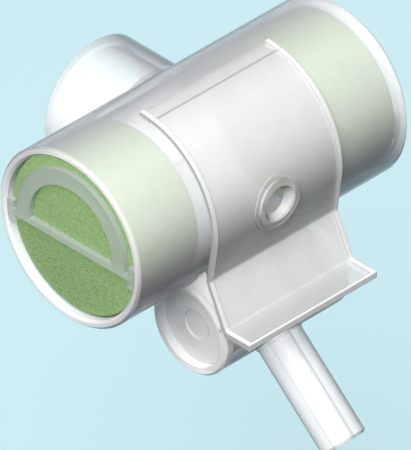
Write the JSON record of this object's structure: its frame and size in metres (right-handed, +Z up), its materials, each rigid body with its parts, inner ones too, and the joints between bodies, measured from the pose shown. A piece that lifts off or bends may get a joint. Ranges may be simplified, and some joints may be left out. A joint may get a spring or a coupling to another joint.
{
  "type": "tracheostomy heat and moisture exchanger",
  "caption": "T-shaped breathing filter: clear cross tube with green foam in each end, 15 mm patient socket, suction port under a hinged flap, oxygen spigot below",
  "frame": {"origin": "centre of the patient connector's mouth", "axes": "+Y out of the patient connector towards the patient, +X along the cross tube, +Z up; the suction port faces -Y"},
  "size_m": [0.0498, 0.0482, 0.0483],
  "materials": {
    "clear_plastic": "clear polished plastic",
    "frosted_plastic": "frosted soft plastic",
    "foam": "fine open foam",
    "retainer_plastic": "satin translucent plastic",
    "plug_plastic": "satin translucent plastic"
  },
  "bodies": {
    "body": {"housing": "clear_plastic", "flap_hinge_strip": "frosted_plastic", "left_medium": "foam", "right_medium": "foam", "left_retainer": "retainer_plastic", "right_retainer": "retainer_plastic", "left_chamber_plug": "plug_plastic", "right_chamber_plug": "plug_plastic"},
    "flap": {"suction_flap": "frosted_plastic"}
  },
  "joints": [
    {"name": "flap_hinge", "type": "hinge", "parent": "body", "child": "flap", "pos_m": [0, -0.02242, 0.01335], "axis": [-1, 0, 0], "range_deg": [0, 110]}
  ]
}
